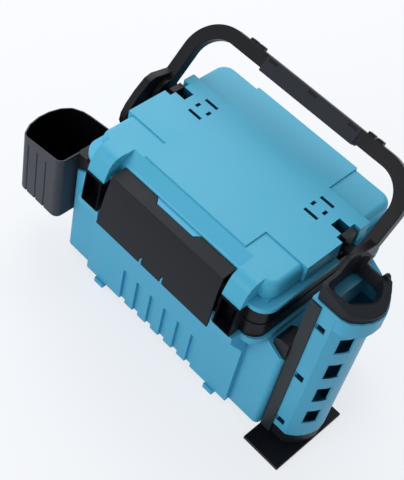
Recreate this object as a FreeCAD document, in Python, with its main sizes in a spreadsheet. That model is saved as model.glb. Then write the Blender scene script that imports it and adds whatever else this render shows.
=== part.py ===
import FreeCAD, Part

import math
import os
import re

import Sketcher

# Fishing seat box, in millimetres. +X is to the right as seen from the latch side,
# -Y is the latch side, +Z is up. The origin is on the floor, under the middle of the tub.

SIZES = {
    # tub
    "tub_length": 441,
    "tub_width": 233,
    "tub_floor": 10,
    "wall": 3,
    "tub_corner": 9,
    "shoulder_start": 188,
    "neck_start": 206,
    "neck_half": 189,
    "flare_start": 161,
    "flare_half": 165,
    "flange_half_width": 145.5,
    "flange_corner": 28,
    "flange_top": 217,
    "flange_height": 12,
    "flange_wall": 8,
    "panel_half": 161,
    "panel_depth": 9,
    "panel_flare_start": 150,
    "panel_flare_depth": 37.5,
    "flute_width": 13,
    "flute_depth": 5,
    "flute_draft": 1,
    "flute_pitch": 30.4,
    "flute_top": 85.4,
    "latch_recess_floor": 190,
    # feet
    "foot_inner": 118,
    "foot_width": 19,
    "foot_length": 36,
    "foot_set_back": 4,
    "centre_pad_length": 60,
    "centre_pad_width": 40,
    # collar frame
    "collar_half": 184,
    "collar_half_width": 143.5,
    "collar_corner": 25,
    "collar_wall": 5,
    "collar_top": 275,
    "collar_step": 247,
    "collar_step_inset": 1.2,
    "socket_inner": 122,
    "socket_outer": 155,
    "socket_depth": 18,
    "socket_wall": 2.5,
    "socket_top_reach": 16,
    "socket_foot_reach": 20.5,
    "socket_post": 5,
    # lid
    "lid_half": 187,
    "lid_lip": 8,
    "lid_corner": 28,
    "lid_groove": 3,
    "lid_groove_inset": 15,
    "lid_block_half": 175,
    "lid_block_front": 126,
    "lid_block_back": 138,
    "lid_block_corner": 22,
    "lid_block_round": 10,
    "lid_side_reach": 180,
    "lid_top": 317.5,
    "lid_pad_drop": 2.5,
    "lid_skin": 4,
    "plus_front": 61,
    "plus_back": 72,
    "plus_arm_half": 101,
    "plus_arm_back": 135.5,
    "lid_recess_half": 119.5,
    "lid_recess_start": 102,
    "lid_recess_end": 122,
    "lid_ledge": 300,
    "nose_inner": 120.5,
    "nose_reach": 157,
    "nose_top_reach": 144,
    "notch_half": 20,
    "notch_inner": 168,
    "notch_stem_inner": 148.5,
    "notch_stem_half": 9.5,
    "notch_stem_depth": 24,
    "slot_group": 117.8,
    "slot_spread": 17.6,
    "slot_long": 25,
    "slot_wide": 5.4,
    "slot_short": 9,
    "slot_short_spread": 11.2,
    "slot_depth": 7.5,
    "tongue_half": 36,
    "tongue_depth": 9.5,
    # lid hinge
    "hinge_back": 148,
    "hinge_rise": 268,
    "hinge_pin": 2,
    "hinge_barrel": 4.2,
    "hinge_inner": 88,
    "knuckle": 13,
    "lid_knuckle": 25,
    # latch
    "latch_half_top": 112,
    "latch_half_foot": 117,
    "latch_sheet": 3,
    "latch_stand_off": 2.8,
    "latch_axis_in": 5.8,
    "latch_bend_in": 8.2,
    "latch_flange_in": 15.1,
    "latch_flange_deep": 25.3,
    "recess_behind_axis": 10,
    "tongue_gap": 0.4,
    "latch_top": 297.5,
    "latch_lip": 295,
    "latch_bend": 262,
    "latch_foot": 198.7,
    "latch_cheek_back": 147,
    "latch_cheek_foot": 222,
    "finger_half": 37,
    "finger_half_top": 45,
    "finger_depth": 10.2,
    "latch_axis_rise": 202,
    "latch_pin": 2,
    "latch_barrel": 3.6,
    "latch_rib": 22,
    "latch_rib_wide": 3,
    "latch_rib_rise": 213,
    "latch_notch_wide": 5.6,
    "latch_notch_high": 12,
    "latch_knuckle": 8,
    # handle
    "pivot_back": 31.3,
    "pivot_rise": 289,
    "pivot_pin": 5,
    "bush_wall": 3,
    "handle_rise_angle": 48.7,
    "handle_inner": 193,
    "handle_outer": 213.5,
    "handle_thick": 19,
    "handle_reach": 132,
    "handle_bar": 22.6,
    "handle_corner": 65,
    "hub_size": 24,
    "tail_wide": 13,
    "tail_reach": 75.5,
    "grip_half": 91,
    "grip_wall": 4,
    "grip_shift": 3.5,
    "grip_cheek": 1.4,
    "grip_slot_long": 16,
    "grip_slot_inset": 3.2,
    "grip_slot_wide": 4,
    "grip_slot_spread": 78,
    "loop_inner": 102,
    "loop_pitch": 15.5,
    "loop_wide": 12,
    "loop_tall": 4.5,
    "lug_inner": 169,
    "lug_half": 11,
    "lug_seat": 254,
    # brackets for the cup and the rod stand
    "bracket_front": 112,
    "bracket_back": 78,
    "bracket_rise": 222,
    "bracket_cap": 196,
    "hook_centre": 93.5,
    "hook_foot": 200,
    "hook_tall": 15,
    "hook_neck": 10,
    "hook_head": 18,
    "hook_head_thick": 3,
    "hook_travel": 25,
    # cup
    "cup_gap": 2,
    "cup_wall": 3,
    "cup_foot": 88,
    "cup_rim": 219,
    "cup_rim_fall": 16,
    "cup_front_corner": 12,
    "cup_front": 147,
    "cup_back": 38,
    "cup_outer": 329,
    "cup_corner": 16,
    "cup_groove": 3,
    # rod stand
    "stand_gap": 1,
    "strip_wide": 18.5,
    "strip_front": 107.5,
    "strip_back": 14,
    "strip_top": 333,
    "strip_wall": 4,
    "plate_outer": 291.5,
    "plate_front": 143,
    "plate_back": 3,
    "plate_thick": 6.5,
    "tube_centre": 57.5,
    "tube_half": 47.5,
    "tube_flat": 25,
    "tube_reach": 51.5,
    "tube_wall": 3,
    "tube_split": 24.5,
    "tube_foot": 30,
    "tube_top": 333,
    "flank_foot": 44,
    "flank_tall": 13,
    "flank_pitch": 121.5,
    "flank_wide": 15.5,
    "window_foot": 67,
    "window_tall": 35.5,
    "window_pitch": 62.6,
    "window_inner": 36.5,
    "window_half": 15.5,
    "head_foot": 310,
    "head_top": 339,
    "head_wall": 3,
    "rim_top": 366,
    "rim_half": 45.5,
    "rim_outer": 301,
    "rim_fall": 20,
    "rim_notch": 347,
    "rim_hole_back": 10,
    "horn_thick": 7,
    "rim_wall": 5,
    "rim_tab": 16,
    "funnel_wall": 1.6,
    "funnel_deep": 36,
    # fits
    "clearance": 0.3,
    "running": 0.05,
}

doc = FreeCAD.newDocument("fishing_seat_box")
sheet = doc.addObject("Spreadsheet::Sheet", "size")
for row, (alias, number) in enumerate(SIZES.items(), start=1):
    sheet.set("A%d" % row, alias)
    sheet.set("B%d" % row, str(number))
    sheet.setAlias("B%d" % row, alias)
doc.recompute()

NODES = []

# Places that several pieces share, as formulas over the sheet.
TUB_HALF = "tub_length / 2"
TUB_SIDE = "tub_width / 2"
TUB_WALL_IN = "(tub_width / 2 - wall)"
FLANGE_FOOT = "(flange_top - flange_height)"
PANEL_FACE = "(tub_width / 2 + panel_depth)"
LIP_TOP = "(collar_top + lid_lip)"
PAD_TOP = "(lid_top - lid_pad_drop)"
LATCH_FOOT = "(%s + panel_flare_depth + latch_stand_off)" % PANEL_FACE
LATCH_AXIS = "(%s - latch_axis_in)" % LATCH_FOOT
LATCH_BEND = "(%s - latch_bend_in)" % LATCH_FOOT
FLANGE_FRONT = "(%s - latch_flange_in)" % LATCH_FOOT
FLANGE_BACK = "(%s - latch_flange_deep)" % FLANGE_FRONT
RECESS_FACE = "(%s - recess_behind_axis)" % LATCH_AXIS
LID_FRONT_EDGE = "(%s - tongue_gap)" % FLANGE_BACK
PIVOT_FRONT = "(pivot_back - notch_half)"
PIVOT_REAR = "(pivot_back + notch_half)"
STRIP_IN = "(tub_length / 2 + stand_gap)"
TUBE_IN = "(tub_length / 2 + stand_gap + strip_wide)"
CUP_IN = "(tub_length / 2 + cup_gap)"
HANDLE_CUT = "(handle_reach - handle_bar / 2)"
HANDLE_END = "(handle_reach + handle_bar / 2)"


def bind(text):
    """Return an expression in which every size's name is read from the sheet."""
    return re.sub(r"[a-z_]{3,}", lambda word: "size." + word[0] if word[0] in SIZES else word[0], str(text))


def value(text):
    """Return the number that an expression over the sheet has now."""
    number = sheet.evalExpression(bind(text))
    return float(getattr(number, "Value", number))


def new_body(label):
    """Start a sub-part made of sketches and features."""
    body = doc.addObject("PartDesign::Body", label)
    body.Label = label
    NODES.append(body)
    return body


def new_sketch(body, plane, place):
    """Sketch on one of the body's own planes, moved along the plane's normal to a place."""
    sketch = body.newObject("Sketcher::SketchObject", body.Name + "_sketch")
    support = [o for o in body.Origin.OriginFeatures if o.Role == plane + "_Plane"][0]
    sketch.AttachmentSupport = [(support, "")]
    sketch.MapMode = "FlatFace"
    sign = "-" if plane == "XZ" else ""
    sketch.setExpression("AttachmentOffset.Base.z", bind("%s(%s)" % (sign, place)))
    return sketch


def pin_point(sketch, line, end, axis, text):
    """Hold one coordinate of a line's end at an expression, measured from the sketch's origin."""
    index = sketch.addConstraint(Sketcher.Constraint(axis, -1, 1, line, end, value(text)))
    sketch.setExpression("Constraints[%d]" % index, bind(text))


def add_polygon(sketch, points):
    """Add a closed outline of straight lines through points given as expressions."""
    first = sketch.GeometryCount
    spots = [FreeCAD.Vector(value(u), value(v), 0) for u, v in points]
    for spot, after in zip(spots, spots[1:] + spots[:1]):
        sketch.addGeometry(Part.LineSegment(spot, after), False)
    for step, (u, v) in enumerate(points):
        line = first + step
        following = first + (step + 1) % len(points)
        sketch.addConstraint(Sketcher.Constraint("Coincident", line, 2, following, 1))
        pin_point(sketch, line, 1, "DistanceX", u)
        pin_point(sketch, line, 1, "DistanceY", v)


def add_circle(sketch, u, v, radius):
    """Add a circle whose centre and radius are expressions."""
    centre = FreeCAD.Vector(value(u), value(v), 0)
    circle = sketch.addGeometry(Part.Circle(centre, FreeCAD.Vector(0, 0, 1), value(radius)), False)
    index = sketch.addConstraint(Sketcher.Constraint("Radius", circle, value(radius)))
    sketch.setExpression("Constraints[%d]" % index, bind(radius))
    pin_point(sketch, circle, 3, "DistanceX", u)
    pin_point(sketch, circle, 3, "DistanceY", v)


def add_rounded(sketch, u0, u1, v0, v1, radius):
    """Add a rectangle with round corners: four sides, four tangent arcs of one radius."""
    first = sketch.GeometryCount
    left, right, low, high, turn = (value(text) for text in (u0, u1, v0, v1, radius))
    ends = [
        (left + turn, low, right - turn, low),
        (right, low + turn, right, high - turn),
        (right - turn, high, left + turn, high),
        (left, high - turn, left, low + turn),
    ]
    for u, v, after_u, after_v in ends:
        line = Part.LineSegment(FreeCAD.Vector(u, v, 0), FreeCAD.Vector(after_u, after_v, 0))
        sketch.addGeometry(line, False)
    middles = [(right - turn, low + turn), (right - turn, high - turn), (left + turn, high - turn),
               (left + turn, low + turn)]
    for step, (u, v) in enumerate(middles):
        circle = Part.Circle(FreeCAD.Vector(u, v, 0), FreeCAD.Vector(0, 0, 1), turn)
        begin = math.radians(90 * (step - 1))
        sketch.addGeometry(Part.ArcOfCircle(circle, begin, begin + math.pi / 2), False)
    for step in range(4):
        line = first + step
        arc = first + 4 + step
        sketch.addConstraint(Sketcher.Constraint("Tangent", line, 2, arc, 1))
        sketch.addConstraint(Sketcher.Constraint("Tangent", arc, 2, first + (step + 1) % 4, 1))
        sketch.addConstraint(Sketcher.Constraint(("Horizontal", "Vertical")[step % 2], line))
        if step:
            sketch.addConstraint(Sketcher.Constraint("Equal", first + 4, arc))
    index = sketch.addConstraint(Sketcher.Constraint("Radius", first + 4, turn))
    sketch.setExpression("Constraints[%d]" % index, bind(radius))
    pin_point(sketch, first, 1, "DistanceY", v0)
    pin_point(sketch, first + 1, 1, "DistanceX", u1)
    pin_point(sketch, first + 2, 1, "DistanceY", v1)
    pin_point(sketch, first + 3, 1, "DistanceX", u0)


def box_points(u0, u1, v0, v1):
    """Corners of an upright rectangle."""
    return [(u0, v0), (u1, v0), (u1, v1), (u0, v1)]


def rounded(half_length, half_width, radius):
    """A rectangle with round corners about the sketch's origin."""
    return "-(%s)" % half_length, half_length, "-(%s)" % half_width, half_width, radius


def mirrored(points):
    """The same outline on the other side of the sketch's upright axis."""
    return [("-(%s)" % u, v) for u, v in points]


def fill_sketch(sketch, outlines):
    """Put each outline in the sketch: points, a circle (3 values) or a rounded rectangle (5)."""
    for outline in outlines:
        if isinstance(outline, tuple) and len(outline) == 5:
            add_rounded(sketch, *outline)
        elif isinstance(outline, tuple):
            add_circle(sketch, *outline)
        else:
            add_polygon(sketch, outline)


def add(body, plane, outlines, start, end):
    """Pad outlines from one place to another along the plane's axis."""
    sketch = new_sketch(body, plane, end if plane == "XZ" else start)
    fill_sketch(sketch, outlines)
    pad = body.newObject("PartDesign::Pad", body.Name + "_pad")
    pad.Profile = sketch
    pad.setExpression("Length", bind("(%s) - (%s)" % (end, start)))
    return pad


def cut(body, plane, outlines, start, end):
    """Pocket outlines from one place to another along the plane's axis."""
    sketch = new_sketch(body, plane, start if plane == "XZ" else end)
    fill_sketch(sketch, outlines)
    pocket = body.newObject("PartDesign::Pocket", body.Name + "_pocket")
    pocket.Profile = sketch
    pocket.setExpression("Length", bind("(%s) - (%s)" % (end, start)))
    return pocket


def loft(body, kind, lower, upper):
    """Loft between two level outlines, each given as (outline, height)."""
    sections = []
    for outline, height in (lower, upper):
        sketch = new_sketch(body, "XY", height)
        fill_sketch(sketch, [outline])
        sections.append(sketch)
    feature = body.newObject("PartDesign::%sLoft" % kind, body.Name + "_loft")
    feature.Profile = sections[0]
    feature.Sections = sections[1:]
    feature.Ruled = True
    return feature


def along(edge, axis):
    """True for a straight edge that runs along X, Y or Z."""
    if edge.Curve.TypeId != "Part::GeomLine":
        return False
    return abs(edge.Curve.Direction[axis]) > 0.999


def round_off(body, radius, test):
    """Fillet the edges of the body that the test picks."""
    doc.recompute()
    base = body.Tip
    names = ["Edge%d" % number for number, edge in enumerate(base.Shape.Edges, start=1) if test(edge)]
    fillet = body.newObject("PartDesign::Fillet", body.Name + "_fillet")
    fillet.Base = (base, names)
    fillet.setExpression("Radius", bind(radius))
    return fillet


def block(label, x0, x1, y0, y1, z0, z1):
    """A plain rectangular piece between six places."""
    piece = doc.addObject("Part::Box", label)
    piece.Label = label
    for name, start, end in (("Length", x0, x1), ("Width", y0, y1), ("Height", z0, z1)):
        piece.setExpression(name, bind("(%s) - (%s)" % (end, start)))
    for name, start in (("x", x0), ("y", y0), ("z", z0)):
        piece.setExpression("Placement.Base." + name, bind(start))
    return piece


def rod(label, radius, x0, x1, y, z):
    """A round bar along X."""
    piece = doc.addObject("Part::Cylinder", label)
    piece.Label = label
    piece.Placement = FreeCAD.Placement(FreeCAD.Vector(), FreeCAD.Rotation(FreeCAD.Vector(0, 1, 0), 90))
    piece.setExpression("Radius", bind(radius))
    piece.setExpression("Height", bind("(%s) - (%s)" % (x1, x0)))
    for name, start in (("x", x0), ("y", y), ("z", z)):
        piece.setExpression("Placement.Base." + name, bind(start))
    return piece


def sided(sign, near, far):
    """Order two distances from the middle as a rising pair on the left or the right side."""
    if sign < 0:
        return "-(%s)" % far, "-(%s)" % near
    return near, far


SIDES = (("left", -1), ("right", 1))


# The tub: a box with sloping shoulders, a flared neck and a flange that the collar stands on.
def make_tub():
    tub = new_body("tub")
    ends = [(TUB_HALF, "tub_floor"), (TUB_HALF, "shoulder_start"), ("neck_half", "neck_start")]
    add(tub, "XZ", [ends + mirrored(ends)[::-1]], "-" + TUB_SIDE, TUB_SIDE)
    round_off(tub, "tub_corner", lambda edge: along(edge, 2) and edge.BoundBox.ZMin < value("tub_floor") + 1)
    lower = rounded("flare_half", TUB_SIDE, "tub_corner / 2")
    upper = rounded("neck_half", "flange_half_width", "flange_corner")
    loft(tub, "Additive", (lower, "flare_start"), (upper, FLANGE_FOOT))
    add(tub, "XY", [upper], FLANGE_FOOT, "flange_top")
    flare_reach = "-(%s + panel_flare_depth)" % PANEL_FACE
    add(tub, "YZ", [[
        ("-%s" % TUB_WALL_IN, "tub_floor"),
        ("-" + PANEL_FACE, "tub_floor"),
        ("-" + PANEL_FACE, "panel_flare_start"),
        (flare_reach, FLANGE_FOOT),
        (flare_reach, "flange_top"),
        ("-(flange_half_width - flange_wall / 2)", "flange_top"),
        ("-%s" % TUB_WALL_IN, "panel_flare_start"),
    ]], "-panel_half", "panel_half")

    # The hollow: straight below, narrowing under the shoulders, wider again in the neck.
    inside = "(%s - wall)" % TUB_HALF
    mouth = "(neck_half - flange_wall)"
    slope = "(neck_start - shoulder_start) / (%s - neck_half)" % TUB_HALF
    shoulder = "(shoulder_start - wall / 2)"
    room = [
        (inside, "tub_floor + wall"),
        (inside, shoulder),
        (mouth, "%s + (%s - %s) * %s" % (shoulder, inside, mouth, slope)),
        (mouth, "flange_top"),
    ]
    cut(tub, "XZ", [room + mirrored(room)[::-1]], "-" + TUB_WALL_IN, TUB_WALL_IN)
    low_room = rounded("(flare_half - wall)", TUB_WALL_IN, "tub_corner / 2")
    high_room = rounded(mouth, "(flange_half_width - flange_wall)", "flange_corner - flange_wall")
    loft(tub, "Subtractive", (low_room, "flare_start + wall"), (high_room, FLANGE_FOOT))
    cut(tub, "XY", [high_room], FLANGE_FOOT, "flange_top")
    panel_in = "-(%s - flute_depth - wall)" % PANEL_FACE
    flare_in = "-(%s - wall)" % RECESS_FACE
    cut(tub, "YZ", [[
        ("-(%s - wall)" % TUB_WALL_IN, "tub_floor + wall"),
        (panel_in, "tub_floor + wall"),
        (panel_in, "panel_flare_start - wall"),
        (flare_in, "latch_recess_floor - wall"),
        (flare_in, "flange_top - wall"),
        ("-(%s - wall)" % TUB_WALL_IN, "flange_top - wall"),
    ]], "-(panel_half - wall)", "panel_half - wall")

    # Six flutes in the front panel, open at the bottom.
    flutes = []
    for step in (-2.5, -1.5, -0.5, 0.5, 1.5, 2.5):
        left = "(flute_pitch * %g - flute_width / 2)" % step
        right = "(flute_pitch * %g + flute_width / 2)" % step
        flutes.append([
            (left, "-(%s + 1)" % PANEL_FACE),
            (right, "-(%s + 1)" % PANEL_FACE),
            (right + " - flute_draft", "-(%s - flute_depth)" % PANEL_FACE),
            (left + " + flute_draft", "-(%s - flute_depth)" % PANEL_FACE),
        ])
    cut(tub, "XY", flutes, "tub_floor", "flute_top")

    # Recess behind the latch's foot, with two ribs that carry its pin.
    recess_half = "(latch_half_foot + 1.3)"
    cut(tub, "YZ", [box_points(flare_reach + " - 1", "-" + RECESS_FACE, "latch_recess_floor", "flange_top")],
        "-" + recess_half, recess_half)
    rib = [
        ("-(%s - 1)" % RECESS_FACE, "latch_recess_floor + 3"),
        ("-" + LATCH_AXIS, "latch_axis_rise - 6"),
        ("-(%s + 5.5)" % LATCH_AXIS, "latch_axis_rise - 3"),
        ("-(%s + 5.5)" % LATCH_AXIS, "latch_axis_rise + 4"),
        ("-" + LATCH_AXIS, "latch_rib_rise - 3"),
        ("-(%s - 1)" % RECESS_FACE, "latch_rib_rise"),
    ]
    bore = ("-" + LATCH_AXIS, "latch_axis_rise", "latch_pin + running")
    for name, sign in SIDES:
        near, far = sided(sign, "latch_rib - latch_rib_wide / 2", "latch_rib + latch_rib_wide / 2")
        add(tub, "YZ", [rib], near, far)
        cut(tub, "YZ", [bore], near, far)


# Feet under the tub, with a pad in the middle.
def make_feet():
    corners = []
    for name, sign in SIDES:
        near, far = sided(sign, "foot_inner", "foot_inner + foot_width")
        reach = "(%s + foot_set_back)" % PANEL_FACE
        corners.append(block("foot_front_" + name, near, far, "-" + reach, "-(%s - foot_length)" % reach,
                             "0", "tub_floor"))
        corners.append(block("foot_back_" + name, near, far, "%s - foot_length" % TUB_SIDE, TUB_SIDE,
                             "0", "tub_floor"))
    NODES.extend(corners)
    NODES.append(block("centre_pad", "-centre_pad_length / 2", "centre_pad_length / 2",
                       "-centre_pad_width / 2", "centre_pad_width / 2", "0", "tub_floor"))


# The black collar frame between tub and lid, with a socket at each front corner.
def make_collar():
    collar = new_body("collar_frame")
    outer = rounded("collar_half", "collar_half_width", "collar_corner")
    upper = rounded("(collar_half - collar_step_inset)", "(collar_half_width - collar_step_inset)",
                    "collar_corner - collar_step_inset")
    add(collar, "XY", [outer], "flange_top", "collar_step")
    add(collar, "XY", [upper], "collar_step", "collar_top")
    for name, sign in SIDES:
        near, far = sided(sign, "socket_inner", "socket_outer")
        add(collar, "YZ", [[
            ("-(collar_half_width - collar_wall)", "flange_top"),
            ("-(collar_half_width + socket_foot_reach)", "flange_top"),
            ("-(collar_half_width + socket_top_reach)", "collar_top"),
            ("-(collar_half_width - collar_wall)", "collar_top"),
        ]], near, far)
    inner = rounded("(collar_half - collar_wall)", "(collar_half_width - collar_wall)",
                    "collar_corner - collar_wall")
    cut(collar, "XY", [inner], "flange_top", "collar_top")
    for name, sign in SIDES:
        near, far = sided(sign, "socket_inner + socket_wall", "socket_outer - socket_wall")
        cut(collar, "XZ", [box_points(near, far, "flange_top + socket_wall", "collar_top - socket_wall")],
            "-(collar_half_width + socket_foot_reach)",
            "-(collar_half_width + socket_top_reach - socket_depth)")
        middle = "(%d * (socket_inner + socket_outer) / 2)" % sign
        post = box_points("%s - socket_post / 2" % middle, "%s + socket_post / 2" % middle,
                          "flange_top + socket_wall + 8", "collar_top - socket_wall - 8")
        add(collar, "XZ", [post], "-(collar_half_width + socket_top_reach - socket_depth + socket_post)",
            "-(collar_half_width + socket_top_reach - socket_depth)")

    # Fixed knuckles of the lid's hinge on the back wall, with a web under each barrel.
    for name, sign in SIDES:
        for start in ("hinge_inner", "(hinge_inner + knuckle + lid_knuckle + 2 * clearance)"):
            near, far = sided(sign, start, "%s + knuckle" % start)
            add(collar, "YZ", [[
                ("collar_half_width - collar_wall / 2", "hinge_rise - 3 * hinge_barrel"),
                ("hinge_back", "hinge_rise - hinge_barrel"),
                ("hinge_back", "hinge_rise"),
                ("collar_half_width - collar_wall / 2", "hinge_rise"),
            ]], near, far)
            add(collar, "YZ", [("hinge_back", "hinge_rise", "hinge_barrel")], near, far)
            cut(collar, "YZ", [("hinge_back", "hinge_rise", "hinge_pin + running")], near, far)


# The lid: lip, groove, upper block with a raised plus-shaped panel, front noses and notches.
def make_lid():
    lid = new_body("lid")
    seat = "(collar_top)"
    add(lid, "XY", [rounded("lid_half", "collar_half_width", "lid_corner")], seat, LIP_TOP)
    groove = box_points("-(lid_half - lid_groove_inset)", "lid_half - lid_groove_inset",
                        "-(lid_block_front - lid_groove)", "lid_block_back - lid_groove")
    add(lid, "XY", [groove], LIP_TOP, LIP_TOP + " + lid_groove")
    main = ("-lid_block_half", "lid_block_half", "-lid_block_front", "lid_block_back", "lid_block_corner")
    add(lid, "XY", [main], LIP_TOP + " + lid_groove", PAD_TOP)
    round_off(lid, "lid_block_round", lambda edge: edge.BoundBox.ZMin > value(PAD_TOP) - 0.1)
    sides = box_points("-lid_side_reach", "lid_side_reach", "-plus_front", "plus_back")
    add(lid, "XY", [sides], LIP_TOP + " + lid_groove", "lid_top")
    arm = box_points("-plus_arm_half", "plus_arm_half", "-lid_recess_start", "plus_arm_back")
    add(lid, "XY", [arm], PAD_TOP + " - lid_block_round", "lid_top")
    for name, sign in SIDES:
        near, far = sided(sign, "nose_inner", "socket_outer")
        add(lid, "YZ", [[
            ("-(lid_block_front - lid_block_round)", seat),
            ("-nose_reach", seat),
            ("-(nose_reach - 1.5)", LIP_TOP),
            ("-(nose_top_reach + 5)", PAD_TOP + " - 13"),
            ("-nose_top_reach", PAD_TOP + " - 6"),
            ("-(nose_top_reach - 7)", PAD_TOP + " - 1.6"),
            ("-(nose_top_reach - 15)", PAD_TOP),
            ("-(lid_block_front - lid_block_round)", PAD_TOP),
        ]], near, far)

    # Sloping recess behind the latch, and the front edge that the latch's flange meets.
    cut(lid, "YZ", [[
        ("-(lid_recess_start - 1)", "lid_top + 1"),
        ("-lid_recess_start", "lid_top - 1"),
        ("-lid_recess_end", "lid_ledge"),
        ("-(lid_half)", "lid_ledge"),
        ("-(lid_half)", "lid_top + 1"),
    ]], "-lid_recess_half", "lid_recess_half")
    cut(lid, "YZ", [box_points("-lid_half", "-" + LID_FRONT_EDGE, seat, "lid_top + 1")],
        "-(latch_half_foot + 1.5)", "latch_half_foot + 1.5")

    # The hollow under the top skin, kept clear of the notches for the handle's lugs.
    ceiling = "(lid_ledge - lid_skin)"
    roof = "(%s - lid_skin)" % PAD_TOP
    room_front = "-(lid_recess_start - 6)"
    middle = "(notch_stem_inner - lid_skin)"
    side = "(lid_half - lid_groove_inset - lid_skin - 3)"
    back = "(lid_block_back - lid_groove - lid_skin)"
    front = "-(%s - lid_skin)" % LID_FRONT_EDGE
    cut(lid, "XY", [box_points("-" + middle, middle, front, back)], seat, ceiling)
    cut(lid, "XY", [box_points("-" + middle, middle, room_front, back + " - lid_skin")], ceiling, roof)
    for name, sign in SIDES:
        near, far = sided(sign, middle, side)
        cut(lid, "XY", [box_points(near, far, front, PIVOT_FRONT + " - lid_skin")], seat, ceiling)
        cut(lid, "XY", [box_points(near, far, PIVOT_REAR + " + lid_skin", back)], seat, ceiling)

    # Tongue that fills the latch's finger gap.
    add(lid, "XY", [[
        ("-(tongue_half + tongue_depth * 0.8)", "-" + LID_FRONT_EDGE),
        ("-tongue_half", "-(%s + tongue_depth)" % LID_FRONT_EDGE),
        ("tongue_half", "-(%s + tongue_depth)" % LID_FRONT_EDGE),
        ("tongue_half + tongue_depth * 0.8", "-" + LID_FRONT_EDGE),
    ]], "latch_top - lid_skin", "latch_top - clearance")

    # Through notch for the lug, a shallower stem beside it and the slots in the top.
    for name, sign in SIDES:
        near, far = sided(sign, "notch_inner", "lid_half + 1")
        cut(lid, "XY", [box_points(near, far, PIVOT_FRONT, PIVOT_REAR)], seat, "lid_top")
        near, far = sided(sign, "notch_stem_inner", "notch_inner")
        stem = box_points(near, far, "pivot_back - notch_stem_half", "pivot_back + notch_stem_half")
        cut(lid, "XY", [stem], "lid_top - notch_stem_depth", "lid_top")
        slots = []
        for shift in ("slot_spread", "-slot_spread"):
            near, far = sided(sign, "slot_group - slot_long / 2", "slot_group + slot_long / 2")
            spot = "(pivot_back + %s)" % shift
            slots.append(box_points(near, far, spot + " - slot_wide / 2", spot + " + slot_wide / 2"))
        for shift in ("slot_short_spread", "-slot_short_spread"):
            spot = "(slot_group + %s)" % shift
            near, far = sided(sign, spot + " - slot_wide / 2", spot + " + slot_wide / 2")
            slots.append(box_points(near, far, "pivot_back - slot_short / 2", "pivot_back + slot_short / 2"))
        cut(lid, "XY", slots, "lid_top - slot_depth", "lid_top")

    # Moving knuckles of the hinge, hung from the back of the lip.
    for name, sign in SIDES:
        start = "(hinge_inner + knuckle + clearance)"
        near, far = sided(sign, start, start + " + lid_knuckle")
        add(lid, "YZ", [[
            ("collar_half_width - lid_skin", LIP_TOP),
            ("collar_half_width - lid_skin", seat),
            ("hinge_back - hinge_barrel + clearance", seat),
            ("hinge_back - hinge_barrel + clearance", "hinge_rise"),
            ("hinge_back + hinge_barrel", "hinge_rise"),
            ("hinge_back + hinge_barrel", LIP_TOP),
        ]], near, far)
        add(lid, "YZ", [("hinge_back", "hinge_rise", "hinge_barrel")], near, far)
        cut(lid, "YZ", [("hinge_back", "hinge_rise", "hinge_pin + running")], near, far)


def make_lid_pins():
    for name, sign in SIDES:
        near, far = sided(sign, "hinge_inner", "hinge_inner + 2 * knuckle + lid_knuckle + 2 * clearance")
        NODES.append(rod("lid_hinge_pin_" + name, "hinge_pin", near, far, "hinge_back", "hinge_rise"))


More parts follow.
